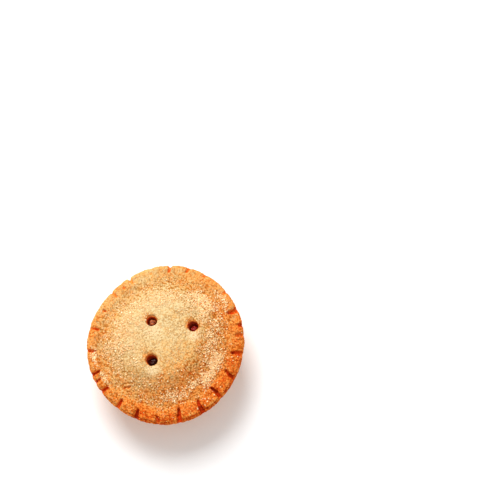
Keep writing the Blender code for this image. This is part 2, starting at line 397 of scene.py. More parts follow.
@dataclass(frozen=True)
class PieForm:
    """The pie's shape: its outline, its domed lid, its crimped lip and its sloping case."""

    mean_radius: float = 35.9 * MM
    oval_share: float = 0.0285
    oval_direction: float = math.radians(65)
    triangle_share: float = 0.0072
    triangle_direction: float = math.radians(61)
    square_share: float = 0.005
    rim_top: float = 22.5 * MM
    dome_rise: float = 5.2 * MM
    crown_rise: float = 1.4 * MM
    lip_reach: float = 1.9 * MM
    lip_half: float = 1.9 * MM
    lip_tuck: float = 2.4 * MM
    lip_tuck_drop: float = 0.8 * MM
    lip_healed: float = 1.6
    base_radius: float = 26.2 * MM
    base_edge: float = 2.6 * MM
    wall_belly: float = 0.6 * MM
    valley_share: float = 0.81
    valley_width: float = 0.10
    valley_dip: float = 0.25 * MM
    apex_shift: tuple[float, float] = (-1.6 * MM, 0.5 * MM)
    flank_steep: float = 0.42
    flank_gentle: float = 0.64
    gentle_side: float = math.radians(-42)
    crimps: tuple[Crimp, ...] = CRIMPS
    crimp_depth: float = 1.75 * MM
    ring_start: float = 0.78
    ring_full: float = 0.91
    pillow_rise: float = 0.75 * MM
    pillow_bulge: float = 0.2 * MM
    flat_side: float = math.radians(105)
    flat_start: float = 0.10
    flatness: float = 0.90
    pillow_squareness: float = 0.5
    pillow_lump_size: float = 4.2 * MM
    pillow_lump_height: float = 0.45 * MM
    lump_size: float = 8.5 * MM
    lump_height: float = 0.42 * MM
    ripple_size: float = 3.2 * MM
    ripple_height: float = 0.16 * MM
    rim_wave_size: float = 21 * MM
    rim_wave_height: float = 0.6 * MM
    wall_lump_height: float = 0.35 * MM
    vents: tuple[Vent, ...] = (
        Vent("upper_left", -6.6 * MM, 8.9 * MM, 1.00),
        Vent("upper_right", 12.0 * MM, 6.3 * MM, 0.92, juice=0.30),
        Vent("lower_left", -6.4 * MM, -9.3 * MM, 1.05),
    )
    cracks: tuple[Crack, ...] = (
        Crack(-17.6 * MM, -20.6 * MM, 3.2 * MM, math.radians(6), 0.60 * MM, 0.70 * MM),
        Crack(-27.6 * MM, 14.8 * MM, 0.8 * MM, math.radians(-40), 0.55 * MM, 0.50 * MM),
        Crack(10.5 * MM, -15.0 * MM, 1.6 * MM, math.radians(35), 0.40 * MM, 0.25 * MM),
        Crack(23.5 * MM, 4.0 * MM, 1.4 * MM, math.radians(-60), 0.40 * MM, 0.25 * MM),
        Crack(-9.0 * MM, 24.0 * MM, 1.8 * MM, math.radians(15), 0.40 * MM, 0.25 * MM),
    )

    def outline(self, angle: np.ndarray) -> np.ndarray:
        """Finds the rim's radius before its crimps.

        Args:
            angle: Directions, in radians.

        Returns:
            Radii, slightly oval, a little three-sided and a little squared.
        """
        oval = self.oval_share * np.cos(2 * (angle - self.oval_direction))
        triangle = self.triangle_share * np.cos(3 * (angle - self.triangle_direction))
        return self.mean_radius * (1 + oval + triangle + self.square_share * np.cos(4 * angle))

    def polar(self, points: np.ndarray) -> tuple[np.ndarray, np.ndarray]:
        """Finds each point's direction, and its distance from the axis as a share of the outline."""
        angle = np.arctan2(points[:, 1], points[:, 0])
        return angle, np.hypot(points[:, 0], points[:, 1]) / self.outline(angle)

    def groove(self, angle: np.ndarray, across: np.ndarray | float) -> np.ndarray:
        """Finds how deep the nearest crimp cuts, from 0 to 1, by direction and share of the outline."""
        return np.max([crimp.depth_at(angle, across, self.mean_radius) for crimp in self.crimps], axis=0)

    def nick(self, angle: np.ndarray) -> np.ndarray:
        """Finds how far the crimps push the rim in, in metres."""
        return np.max([crimp.nick_at(angle, self.mean_radius) for crimp in self.crimps], axis=0)

    def pillow(self, angle: np.ndarray) -> np.ndarray:
        """Finds how far up the pillow between two crimps each direction is.

        Args:
            angle: Directions, in radians.

        Returns:
            0 in a groove, rising to 1 midway between two.
        """
        presses = np.radians([crimp.direction for crimp in self.crimps])
        turns = (angle[:, None] - presses[None, :]) % math.tau
        since_last = turns.min(axis=1)
        until_next = math.tau - turns.max(axis=1)
        share = since_last / (since_last + until_next)
        return np.clip(4 * share * (1 - share), 0.0, 1.0) ** self.pillow_squareness

    def rim_radius(self, angle: np.ndarray) -> np.ndarray:
        """Finds the rim's radius with its pillows and nicks, in metres."""
        bulge = self.pillow_bulge * self.pillow(angle)
        return self.outline(angle) + bulge - self.nick(angle)

    def foot_radius(self, angle: np.ndarray) -> np.ndarray:
        """Finds the case's radius where its side would meet the table, in metres."""
        return self.base_radius * self.outline(angle) / self.mean_radius

    def dome(self, x: np.ndarray, y: np.ndarray) -> np.ndarray:
        """Finds the rise of the lid's domed middle over the valley around it.

        Args:
            x: Places across the lid.
            y: Places along the lid.

        Returns:
            Heights in metres.
        """
        angle = np.arctan2(y, x)
        valley = self.valley_share * self.outline(angle)
        across = np.minimum(1.0, np.hypot(x, y) / valley)
        inward = 1 - across * across
        shift_x, shift_y = self.apex_shift
        reach = np.hypot(x - shift_x * inward, y - shift_y * inward) / valley
        reach = np.minimum(1.0, reach)
        gentle = across * (0.5 + 0.5 * np.cos(turn_between(self.gentle_side, angle)))
        flank = self.flank_steep + (self.flank_gentle - self.flank_steep) * gentle
        crown = self.crown_rise * (1 - reach * reach)
        return self.dome_rise * smooth_step((1 - reach) / flank) + crown

    def lid_height(self, x: np.ndarray, y: np.ndarray) -> np.ndarray:
        """Finds the height of the lid without its crimps.

        Args:
            x: Places across the lid.
            y: Places along the lid.

        Returns:
            Heights above the table, with the lumps of rolled pastry and the dips at the vents.
        """
        points = np.stack(np.broadcast_arrays(x, y, self.rim_top), axis=-1)
        lumps = self.lump_height * soft_noise(points, self.lump_size)
        lumps += self.ripple_height * soft_noise(points, self.ripple_size)
        dips = sum(vent.dip_at(x, y) for vent in self.vents)
        return self.rim_top + self.dome(x, y) + lumps - dips

    def vent_frame(self, vent: Vent) -> Matrix:
        """Finds the frame of a vent, whose +Z runs out of its mouth in the lid."""
        height = self.lid_height(np.array([vent.x]), np.array([vent.y]))
        return vent.place(float(height[0]))

    def lid_points(self, angle: np.ndarray, share: float) -> np.ndarray:
        """Makes a ring of the lid or of the crimped rim.

        Args:
            angle: Directions, in radians.
            share: How far the ring is from the middle to the lip.

        Returns:
            One row of x, y and z for each direction.
        """
        radius = share * (self.rim_radius(angle) - self.lip_reach)
        across = radius / self.outline(angle)
        on_ring = smooth_step((across - self.ring_start) / (self.ring_full - self.ring_start))
        in_valley = smooth_step(1 - np.abs(across - self.valley_share) / self.valley_width)
        height = self.lid_height(radius * np.cos(angle), radius * np.sin(angle))
        rim_points = on_circle(angle, self.mean_radius, self.rim_top)
        wave = self.rim_wave_height * soft_noise(rim_points, self.rim_wave_size)
        lump_points = on_circle(angle, radius, self.rim_top)
        lumps = soft_noise(lump_points, self.pillow_lump_size, NoiseLayer.PILLOWS)
        wave += self.pillow_lump_height * lumps
        flat = smooth_step((np.cos(angle - self.flat_side) - self.flat_start) / (1 - self.flat_start))
        rise = self.pillow_rise * (1 - self.flatness * flat)
        height += on_ring * (rise * self.pillow(angle) + wave)
        valley_dip = self.valley_dip * (1 - self.flatness * flat)
        height -= self.crimp_depth * self.groove(angle, across) + in_valley * valley_dip
        return on_circle(angle, radius, height)

    def lip_points(self, angle: np.ndarray, swing: float) -> np.ndarray:
        """Makes a ring of the rounded outer edge.

        Args:
            angle: Directions, in radians.
            swing: 0 at the top of the lip, 1 on its underside.

        Returns:
            One row of x, y and z for each direction.
        """
        turn = QUARTER_TURN * (1 - 2 * swing)
        middle = self.rim_top - self.lip_half
        top = self.lid_points(angle, 1.0)[:, 2]
        rise = top - middle if swing < 0.5 else self.lip_half
        healed = self.nick(angle) * smooth_step(swing / self.lip_healed)
        radius = self.rim_radius(angle) + healed - self.lip_reach * (1 - math.cos(turn))
        return on_circle(angle, radius, middle + rise * math.sin(turn))

    def wall_points(self, angle: np.ndarray, share: float) -> np.ndarray:
        """Makes a ring of the case's side.

        Args:
            angle: Directions, in radians.
            share: 0 just under the lip, 1 at the base's edge.

        Returns:
            One row of x, y and z for each direction.
        """
        top_radius = self.outline(angle) - self.lip_reach - self.lip_tuck
        top_height = self.rim_top - 2 * self.lip_half - self.lip_tuck_drop
        height = top_height + (self.base_edge - top_height) * share
        belly = math.sin(math.pi * share)
        radius = top_radius + (self.foot_radius(angle) - top_radius) * share + self.wall_belly * belly
        lump = soft_noise(on_circle(angle, radius, height), self.lump_size)
        return on_circle(angle, radius + self.wall_lump_height * lump * belly, height)

    def tuck_points(self, angle: np.ndarray, share: float) -> np.ndarray:
        """Makes a ring of the lip's underside, from 0 at the lip to 1 where the case's side begins."""
        return (1 - share) * self.lip_points(angle, 1.0) + share * self.wall_points(angle, 0.0)

    def edge_points(self, angle: np.ndarray, share: float) -> np.ndarray:
        """Makes a ring of the rounded edge of the base.

        Args:
            angle: Directions, in radians.
            share: 0 where the side ends, 1 where the flat base begins.

        Returns:
            One row of x, y and z for each direction.
        """
        turn = QUARTER_TURN * share
        radius = self.foot_radius(angle) - self.base_edge * (1 - math.cos(turn))
        return on_circle(angle, radius, self.base_edge * (1 - math.sin(turn)))

    def base_points(self, angle: np.ndarray, share: float) -> np.ndarray:
        """Makes a ring of the flat base, from 0 at its edge to 1 in its middle."""
        return on_circle(angle, (self.foot_radius(angle) - self.base_edge) * (1 - share), 0.0)


class ShaderGraph:
    """One material's nodes, with the few ways in which the finishes wire them."""

    def __init__(self, name: str) -> None:
        """Starts a material.

        Args:
            name: The material's name.
        """
        self.material = bpy.data.materials.new(name)
        self.material.use_nodes = True
        self.tree = self.material.node_tree
        self.shader = self.tree.nodes["Principled BSDF"]
        self.place = self.tree.nodes.new("ShaderNodeTexCoord").outputs["Object"]

    def feed(self, socket: Socket, value: Amount | Colour) -> None:
        """Links a socket, or sets it to a constant.

        Args:
            socket: The input to fill.
            value: Another node's output, a number or a colour.
        """
        if isinstance(value, bpy.types.NodeSocket):
            self.tree.links.new(value, socket)
        elif isinstance(value, tuple):
            socket.default_value = (*value, 1.0)
        else:
            socket.default_value = value

    def dress(self, **inputs: Amount | Colour) -> None:
        """Fills the shader's inputs, named with underscores for spaces."""
        for name, value in inputs.items():
            self.feed(self.shader.inputs[name.replace("_", " ")], value)

    def trait(self, trait: Trait) -> Socket:
        """Reads a value that the mesh holds for each point.

        Args:
            trait: What to read.

        Returns:
            The value's output.
        """
        node = self.tree.nodes.new("ShaderNodeAttribute")
        node.attribute_name = trait.value
        return node.outputs["Fac"]

    def noise(self, size: float, detail: float = 2.0, roughness: float = 0.5) -> Socket:
        """Adds noise over the surface.

        Args:
            size: Width of its bumps, in metres.
            detail: How many finer layers it has.
            roughness: How strong those layers are.

        Returns:
            The noise's output, around 0.5.
        """
        node = self.tree.nodes.new("ShaderNodeTexNoise")
        self.feed(node.inputs["Vector"], self.place)
        self.feed(node.inputs["Scale"], 1 / size)
        self.feed(node.inputs["Detail"], detail)
        self.feed(node.inputs["Roughness"], roughness)
        return node.outputs["Fac"]

    def cells(self, size: float) -> tuple[Socket, Socket]:
        """Adds ragged crumbs over the surface.

        Args:
            size: Spacing of the crumbs, in metres.

        Returns:
            The distance from the middle of each crumb, and a tone of its own for each.
        """
        rags = self.tree.nodes.new("ShaderNodeTexNoise")
        self.feed(rags.inputs["Vector"], self.place)
        self.feed(rags.inputs["Scale"], CRUMB_RAG_FINENESS / size)
        moved = self.tree.nodes.new("ShaderNodeVectorMath")
        moved.operation = "MULTIPLY_ADD"
        self.feed(moved.inputs[0], rags.outputs["Color"])
        moved.inputs[1].default_value = (2 * CRUMB_RAGGEDNESS * size,) * 3
        self.feed(moved.inputs[2], self.place)
        node = self.tree.nodes.new("ShaderNodeTexVoronoi")
        self.feed(node.inputs["Vector"], moved.outputs["Vector"])
        self.feed(node.inputs["Scale"], 1 / size)
        return node.outputs["Distance"], node.outputs["Color"]

    def sum(self, kind: Sum, first: Amount, second: Amount) -> Socket:
        """Adds a sum of two values.

        Args:
            kind: The kind of sum.
            first: The first value.
            second: The second value.

        Returns:
            The result's output.
        """
        node = self.tree.nodes.new("ShaderNodeMath")
        node.operation = kind.value
        self.feed(node.inputs[0], first)
        self.feed(node.inputs[1], second)
        return node.outputs[0]

    def times(self, first: Amount, second: Amount) -> Socket:
        """Multiplies two values."""
        return self.sum(Sum.MULTIPLY, first, second)

    def sway(self, value: Amount, swing: Socket, reach: Amount) -> Socket:
        """Lets a noise from 0 to 1 sway a value by half the reach up or down."""
        centred = self.sum(Sum.SUBTRACT, swing, 0.5)
        return self.sum(Sum.ADD, value, self.times(centred, reach))

    def rise(self, value: Socket, start: float, end: float) -> Socket:
        """Adds a smooth rise from 0 to 1.

        Args:
            value: What to compare.
            start: Where the rise begins.
            end: Where it is complete.

        Returns:
            The result's output.
        """
        node = self.tree.nodes.new("ShaderNodeMapRange")
        node.interpolation_type = "SMOOTHSTEP"
        self.feed(node.inputs["Value"], value)
        self.feed(node.inputs["From Min"], start)
        self.feed(node.inputs["From Max"], end)
        return node.outputs["Result"]

    def ramp(self, value: Socket, stops: tuple[tuple[float, Colour], ...]) -> Socket:
        """Adds colours along a scale.

        Args:
            value: Where on the scale each point is.
            stops: The places of the colours on the scale, and the colours.

        Returns:
            The colour's output.
        """
        node = self.tree.nodes.new("ShaderNodeValToRGB")
        self.feed(node.inputs["Fac"], value)
        band = node.color_ramp.elements
        while len(band) < len(stops):
            band.new(1.0)
        for element, (position, colour) in zip(band, stops):
            element.position = position
            element.color = (*colour, 1.0)
        return node.outputs["Color"]

    def mix(self, share: Amount, first: Paint, second: Paint) -> Socket:
        """Mixes two colours by the share of the second."""
        return self.blend(Blend.MIX, share, first, second)

    def tint(self, share: Amount, colour: Socket, tint: Colour) -> Socket:
        """Darkens a colour by a share, multiplied by the whole tint where the share is 1."""
        return self.blend(Blend.MULTIPLY, share, colour, tint)

    def blend(self, kind: Blend, share: Amount, first: Paint, second: Paint) -> Socket:
        """Blends two colours.

        Args:
            kind: The kind of blend.
            share: How strongly the second colour tells.
            first: The first colour.
            second: The second colour.

        Returns:
            The colour's output.
        """
        node = self.tree.nodes.new("ShaderNodeMix")
        node.data_type = "RGBA"
        node.blend_type = kind.value
        self.feed(node.inputs["Factor"], share)
        colours_in = [socket for socket in node.inputs if socket.type == "RGBA"]
        for socket, colour in zip(colours_in, (first, second)):
            self.feed(socket, colour)
        return next(socket for socket in node.outputs if socket.type == "RGBA")

    def bump(self, height: Socket, depth: float, strength: Amount) -> None:
        """Roughens the surface.

        Args:
            height: The relief, from 0 to 1.
            depth: The relief's full depth, in metres.
            strength: How strongly it shows.
        """
        node = self.tree.nodes.new("ShaderNodeBump")
        self.feed(node.inputs["Height"], height)
        self.feed(node.inputs["Distance"], depth)
        self.feed(node.inputs["Strength"], strength)
        self.feed(self.shader.inputs["Normal"], node.outputs["Normal"])


@dataclass(frozen=True)
class BakedPastryFinish:
    """Baked shortcrust: straw where it is pale, golden to brown where it browned, and crumbly, with
    painted shade between its crumbs and in the low places of its grain.
    """

    browning: tuple[tuple[float, Colour], ...] = (
        (0.00, (0.755, 0.588, 0.316)),
        (0.20, (0.770, 0.488, 0.193)),
        (0.40, (0.870, 0.400, 0.115)),
        (0.60, (0.920, 0.305, 0.052)),
        (0.80, (0.770, 0.135, 0.013)),
        (0.92, (0.640, 0.046, 0.003)),
        (1.00, (0.300, 0.022, 0.002)),
    )
    # Colour of the sugar dust. The dust is drawn only on the grain's raised tops, so it is partly a
    # painted highlight.
    dust: Colour = (0.930, 0.670, 0.410)
    speck: Colour = (0.480, 0.150, 0.026)
    # Painted shade: the two tints below darken the spaces between crumbs and the low places of the
    # grain.
    gap_painted_shade: Colour = (0.610, 0.380, 0.130)
    gap_shade_share: float = 0.90
    hollow_painted_shade: Colour = (0.750, 0.530, 0.270)
    hollow_shade_share: float = 0.80
    patch_size: float = 7.0 * MM
    mottle_size: float = 1.9 * MM
    grain_size: float = 0.58 * MM
    crumb_size: float = 0.80 * MM
    speck_size: float = 1.9 * MM
    detail: float = 3.0
    mottle_fineness: float = 0.6
    grain_fineness: float = 0.7
    patch_sway: float = 0.30
    mottle_sway: float = 0.50
    grain_sway: float = 0.62
    tone_sway: float = 0.29
    hollow_shade_grain: tuple[float, float] = (0.56, 0.38)
    gap_shade_distance: tuple[float, float] = (0.46, 0.72)
    lit_top_grain: tuple[float, float] = (0.40, 0.62)
    speck_distance: tuple[float, float] = (0.13, 0.07)
    speck_mottle: tuple[float, float] = (0.50, 0.60)
    relief: float = 0.40 * MM
    grain_height: float = 0.7
    crumb_height: float = 0.5
    bump: float = 0.75
    roughness: float = 0.70
    specular: float = 0.03

    def material(self) -> bpy.types.Material:
        """Makes the pastry's material.

        Returns:
            A material that reads the mesh's browning, coarseness and dust of sugar.
        """
        graph = ShaderGraph("baked_shortcrust")
        patches = graph.noise(self.patch_size, self.detail)
        mottle = graph.noise(self.mottle_size, self.detail, self.mottle_fineness)
        grain = graph.noise(self.grain_size, self.detail, self.grain_fineness)
        from_crumb, tone = graph.cells(self.crumb_size)
        baked = graph.sway(graph.trait(Trait.BROWNING), patches, self.patch_sway)
        baked = graph.sway(baked, mottle, self.mottle_sway)
        coarse = graph.trait(Trait.COARSENESS)
        baked = graph.sway(baked, grain, graph.times(coarse, self.grain_sway))
        baked = graph.sway(baked, tone, graph.times(coarse, self.tone_sway))
        colour = graph.ramp(baked, self.browning)
        # Painted shade in the low places of the grain and between the crumbs, where the bump is lowest.
        hollow_shade = graph.times(graph.rise(grain, *self.hollow_shade_grain), self.hollow_shade_share)
        colour = graph.tint(graph.times(hollow_shade, coarse), colour, self.hollow_painted_shade)
        gap_shade = graph.times(graph.rise(from_crumb, *self.gap_shade_distance), self.gap_shade_share)
        colour = graph.tint(graph.times(gap_shade, coarse), colour, self.gap_painted_shade)
        # Sugar dust where the mesh holds it, kept to the grain's raised tops: partly real dust, partly a
        # painted highlight.
        dust_on_lit_tops = graph.times(graph.trait(Trait.SUGAR_DUST), graph.rise(grain, *self.lit_top_grain))
        colour = graph.mix(dust_on_lit_tops, colour, self.dust)
        speck = graph.rise(graph.cells(self.speck_size)[0], *self.speck_distance)
        speck = graph.times(speck, graph.rise(mottle, *self.speck_mottle))
        colour = graph.mix(speck, colour, self.speck)
        graph.dress(Base_Color=colour, Roughness=self.roughness, Specular_IOR_Level=self.specular)
        grains = graph.times(grain, self.grain_height)
        height = graph.sum(Sum.SUBTRACT, grains, graph.times(from_crumb, self.crumb_height))
        graph.bump(height, self.relief, graph.times(coarse, self.bump))
        return graph.material


class Fruit(Enum):
    """What lies in a vent: its colour, from the lit flesh to the folds."""

    CANDIED_PEEL = ((0.540, 0.150, 0.050), (0.140, 0.024, 0.007))
    CHERRY = ((0.420, 0.014, 0.006), (0.090, 0.003, 0.002))
    CURRANT = ((0.050, 0.006, 0.005), (0.010, 0.002, 0.002))


@dataclass(frozen=True)
class StickyFruitFinish:
    """Fruit in dark syrup: wrinkled, glossy and a little uneven in colour."""

    fruit: Fruit
    fleck_size: float = 0.7 * MM
    wrinkle_size: float = 0.4 * MM
    detail: float = 3.0
    wrinkle_fineness: float = 0.6
    flesh_rise: tuple[float, float] = (0.35, 0.65)
    relief: float = 0.18 * MM
    bump: float = 0.9
    roughness: float = 0.16
    specular: float = 0.22

    def material(self) -> bpy.types.Material:
        """Makes the fruit's material.

        Returns:
            A glossy material in the fruit's colours.
        """
        graph = ShaderGraph(f"sticky_{self.fruit.name.lower()}")
        flesh, fold = self.fruit.value
        flecks = graph.noise(self.fleck_size, self.detail)
        colour = graph.mix(graph.rise(flecks, *self.flesh_rise), fold, flesh)
        graph.dress(Base_Color=colour, Roughness=self.roughness, Specular_IOR_Level=self.specular)
        wrinkles = graph.noise(self.wrinkle_size, self.detail, self.wrinkle_fineness)
        graph.bump(wrinkles, self.relief, self.bump)
        return graph.material


@dataclass(frozen=True)
class SugarFinish:
    """Sugar crystals, which sparkle, in golden tones that change from crystal to crystal."""

    palest: Colour = (0.980, 0.760, 0.430)
    deepest: Colour = (0.900, 0.490, 0.180)
    tint_size: float = 0.9 * MM
    tint_detail: float = 2.0
    tint_fineness: float = 0.7
    tint_rise: tuple[float, float] = (0.35, 0.65)
    roughness: float = 0.28
    specular: float = 0.55

    def material(self) -> bpy.types.Material:
        """Makes the crystals' material.

        Returns:
            A bright material whose colour changes from crystal to crystal.
        """
        graph = ShaderGraph("sugar")
        tint = graph.noise(self.tint_size, self.tint_detail, self.tint_fineness)
        colour = graph.mix(graph.rise(tint, *self.tint_rise), self.palest, self.deepest)
        graph.dress(Base_Color=colour, Roughness=self.roughness, Specular_IOR_Level=self.specular)
        return graph.material


@dataclass(frozen=True)
class TableFinish:
    """A plain pale table top."""

    colour: Colour = (0.94, 0.94, 0.94)
    mottle: Colour = (0.92, 0.92, 0.92)
    mottle_size: float = 30 * MM
    roughness: float = 0.75
    specular: float = 0.2

    def material(self) -> bpy.types.Material:
        """Makes the table's material.

        Returns:
            A matte, nearly white material.
        """
        graph = ShaderGraph("pale_table")
        colour = graph.mix(graph.noise(self.mottle_size), self.colour, self.mottle)
        graph.dress(Base_Color=colour, Roughness=self.roughness, Specular_IOR_Level=self.specular)
        return graph.material


@dataclass(frozen=True)
class Cover:
    """How thickly a kind of grain lies over the lid.

    The rim gets a share of what lies on the lid, and its heaps are added to that.
    """

    form: PieForm
    patches: tuple[Patch, ...]
    thinnest: float
    rim_start: float
    rim_share: float
    heaps: tuple[Patch, ...] = ()
    rim_change: float = 0.08
    edge_start: float = 0.95
    edge_change: float = 0.04
    clump_size: float = 4.0 * MM
    clumpiness: float = 1.8
    thickest: float = 1.2

    def thickness(self, points: np.ndarray) -> np.ndarray:
        """Finds how thickly the grains lie.

        Args:
            points: One row of x, y and z for each point.

        Returns:
            Thicknesses, 0 where there are none and about 1 where they are thickest.
        """
        angle, across = self.form.polar(points)
        total = np.full(len(points), self.thinnest)
        for patch in self.patches:
            total += patch.at(angle, across)
        clumps = 1 + self.clumpiness * soft_noise(points, self.clump_size, NoiseLayer.CLUMPS)
        on_rim = smooth_step((across - self.rim_start) / self.rim_change)
        off_edge = 1 - smooth_step((across - self.edge_start) / self.edge_change)
        off_edge *= 1 - self.form.groove(angle, across)
        for crack in self.form.cracks:
            off_edge *= 1 - crack.depth_at(points) / crack.depth
        total = np.clip(total * clumps, 0.0, self.thickest) * (1 + on_rim * (self.rim_share - 1))
        return (total + sum(heap.at(angle, across) for heap in self.heaps)) * off_edge


SUGAR_PATCHES = (
    Patch(-42, 31, 0.680, 0.060, 1.05),
    Patch(-80, 12, 0.68, 0.05, 0.40),
    Patch(46, 16, 0.68, 0.10, 0.65),
    Patch(20, 18, 0.56, 0.08, 0.25),
    Patch(0, 24, 0.52, 0.10, 0.20),
    Patch(95, 40, 0.55, 0.12, 0.22),
    Patch(175, 45, 0.58, 0.18, 0.22),
)
SUGAR_HEAPS = (
    Patch(210, 4, 0.885, 0.025, 0.95),
    Patch(191, 6, 0.920, 0.030, 0.80),
    Patch(40, 5, 0.900, 0.025, 0.95),
    Patch(30, 4, 0.860, 0.020, 0.60),
    Patch(310, 40, 0.900, 0.050, 0.02),
)
DUST_PATCHES = (
    Patch(-42, 30, 0.685, 0.055, 0.80),
    Patch(35, 22, 0.52, 0.09, 0.35),
    Patch(95, 40, 0.55, 0.12, 0.25),
    Patch(175, 45, 0.58, 0.18, 0.22),
)
CRUMB_PATCHES = (
    Patch(135, 200, 0.00, 0.35, -0.45),
)


@dataclass
class Pastry:
    """The case and the crimped lid, one body of pastry with the vents poked through it.

    The lid's browning and coarseness are rows of a share of the outline, a value all round, and what
    is added on one side and taken away on the other. The wall's browning goes by share of its height.
    """

    form: PieForm
    dust_cover: Cover
    material: bpy.types.Material
    name: str = "pie_pastry"
    full_columns: int = 704
    finest: float = 0.16 * MM
    lid_rings: int = 112
    lip_rings: int = 20
    tuck_rings: int = 6
    wall_rings: int = 42
    edge_rings: int = 10
    base_rings: int = 24
    crumb_size: float = 1.0 * MM
    crumb_height: float = 0.30 * MM
    ridge_size: float = 1.9 * MM
    ridge_height: float = 0.18 * MM
    pit_spacing: float = 5.5 * MM
    pit_radius: float = 0.10
    pit_depth: float = 0.35 * MM
    seam_turn: float = math.radians(40)
    seam_swing: float = math.radians(24)
    seam_width: float = math.radians(8)
    seam_start: float = 0.3
    seam_depth: float = 0.32 * MM
    seam_browning: float = 0.10
    edge_turn: float = math.radians(15)
    edge_paleness: float = 0.12
    seam_wave: float = math.radians(22)
    seam_wave_size: float = 7 * MM
    vent_sides: int = 56
    vent_step: float = 0.28 * MM
    vent_tip: tuple[tuple[float, float], ...] = ((0.25, 0.0), (0.6, 0.08), (0.88, 0.28))
    vent_tip_height: float = 0.6
    vent_clear: float = 3.0 * MM
    vent_flare: float = 0.55 * MM
    vent_flare_height: float = 0.45 * MM
    vent_roughness: float = 0.28 * MM
    vent_rough_size: float = 1.3 * MM
    # Darkening deep in each hole: juice stains, partly painted shade. Darkening on the side of each vent
    # that faces away from the light: painted shade.
    stain_shade_depth: float = 1.3 * MM
    stain_shade_lift: float = 0.3 * MM
    slope_shade_shift: float = 0.75
    slope_shade_reach: float = 1.8
    stain_shade_end: float = 1.30
    stain_shade_fade: float = 0.15
    juice_reach: float = 1.60
    juice_fade: float = 0.5
    hole_stain_and_shade: float = 0.85
    slope_painted_shade: float = 0.60
    bloom_shift: tuple[float, float] = (0.4 * MM, -3.9 * MM)
    bloom_radius: float = 5.2 * MM
    bloom_start: float = 1.10
    bloom_change: float = 0.2
    bloom_paleness: float = 0.18
    bloom_dust: float = 0.95
    bloom_smooth: float = 0.55
    dustiness: float = 0.36
    crimp_browning: float = 0.965
    # Painted light on the crimps' floors towards the lit side of the pie, and a narrow painted highlight
    # where they face the light most.
    crimp_painted_light: float = 0.16
    crimp_painted_highlight: float = 0.22
    painted_highlight_narrowness: int = 8
    crimp_edge: float = 0.60
    crack_browning: float = 0.5
    bake_size: float = 6.0 * MM
    bake_sway: float = 0.10
    darker_side: float = math.radians(-55)
    lid_browning: tuple[tuple[float, float, float], ...] = (
        (0.09, 0.08, 0.05),
        (0.28, 0.10, 0.11),
        (0.44, 0.14, 0.13),
        (0.57, 0.21, 0.18),
        (0.68, 0.30, 0.17),
        (0.77, 0.39, 0.15),
        (0.855, 0.445, 0.245),
        (0.925, 0.50, 0.22),
        (1.00, 0.57, 0.19),
    )
    wall_browning: tuple[tuple[float, float], ...] = (
        (0.00, 0.62),
        (0.08, 0.60),
        (0.30, 0.46),
        (0.70, 0.42),
        (0.85, 0.40),
        (1.00, 0.46),
    )
    patches: tuple[Patch, ...] = (
        Patch(45, 26, 0.28, 0.13, -0.08),
        Patch(135, 30, 0.28, 0.14, -0.06),
        Patch(315, 42, 0.48, 0.12, 0.09),
        Patch(272, 18, 0.55, 0.12, 0.05),
        Patch(50, 20, 0.55, 0.06, -0.30),
        Patch(45, 24, 0.710, 0.075, 0.15),
        Patch(8, 22, 0.73, 0.07, -0.09),
        Patch(90, 28, 0.62, 0.10, -0.06),
        Patch(318, 16, 0.94, 0.04, -0.14),
        Patch(289.5, 6, 0.950, 0.013, -0.26),
        Patch(282.6, 0.9, 0.895, 0.045, -0.30),
        Patch(88, 12, 0.945, 0.020, -0.08),
        Patch(225, 45, 0.60, 0.10, -0.04),
        Patch(115, 45, 0.66, 0.10, -0.07),
        Patch(210, 32, 0.60, 0.16, -0.08),
        Patch(222, 22, 0.86, 0.08, -0.06),
        Patch(248, 30, 0.78, 0.06, -0.07),
        Patch(268, 22, 0.79, 0.05, -0.07),
        Patch(182, 22, 0.93, 0.06, 0.08),
        Patch(270, 22, 0.94, 0.05, 0.05),
        Patch(80, 40, 0.93, 0.06, -0.06),
    )
    lip_turn_under: float = 1.05
    lip_change: float = 0.9 * MM
    wall_coarseness: float = 0.42
    pressed_smooth: float = 0.75
    coarser_side: float = math.radians(-15)
    lid_coarseness: tuple[tuple[float, float, float], ...] = (
        (0.10, 0.50, 0.00),
        (0.28, 0.72, 0.05),
        (0.45, 0.98, 0.22),
        (0.60, 1.15, 0.25),
        (0.72, 1.15, 0.15),
        (0.85, 1.14, 0.10),
        (1.00, 1.04, 0.08),
    )
    smooth_patches: tuple[Patch, ...] = (
        Patch(105, 55, 0.95, 0.12, -0.50),
        Patch(30, 30, 0.96, 0.08, -0.25),
        Patch(100, 38, 0.50, 0.13, -0.32),
        Patch(140, 80, 0.44, 0.09, -0.36),
        Patch(270, 60, 0.56, 0.06, -0.20),
        Patch(35, 45, 0.68, 0.10, 0.35),
        Patch(45, 22, 0.69, 0.10, 0.35),
        Patch(280, 120, 0.92, 0.08, 0.15),
    )
    obj: bpy.types.Object = field(init=False, default=None)

    def columns_at(self, radius: float, most: int) -> int:
        """Picks how many points a ring has.

        Args:
            radius: The ring's radius.
            most: The most points that it may have.

        Returns:
            The most, halved until the points are far enough apart.
        """
        columns = most
        while math.tau * radius / columns < self.finest and columns % 2 == 0:
            columns //= 2
        return columns

    def rings(self) -> list[np.ndarray]:
        """Makes the surface's rings.

        Returns:
            The rings' points, from the middle of the lid over the lip and down to the base.
        """
        half = self.full_columns // 2
        runs = (
            (self.form.lid_points, self.lid_rings, self.full_columns, 0),
            (self.form.lip_points, self.lip_rings, self.full_columns, 0),
            (self.form.tuck_points, self.tuck_rings, half, 0),
            (self.form.wall_points, self.wall_rings, half, 0),
            (self.form.edge_points, self.edge_rings, half, 0),
            (self.form.base_points, self.base_rings, half, 1),
        )
        rings = []
        for points_at, count, most, left_open in runs:
            for step in range(1, count + 1):
                share = step / (count + left_open)
                probe = points_at(np.zeros(1), share)[0]
                columns = self.columns_at(math.hypot(probe[0], probe[1]), most)
                rings.append(points_at(np.arange(columns) * math.tau / columns, share))
        return rings

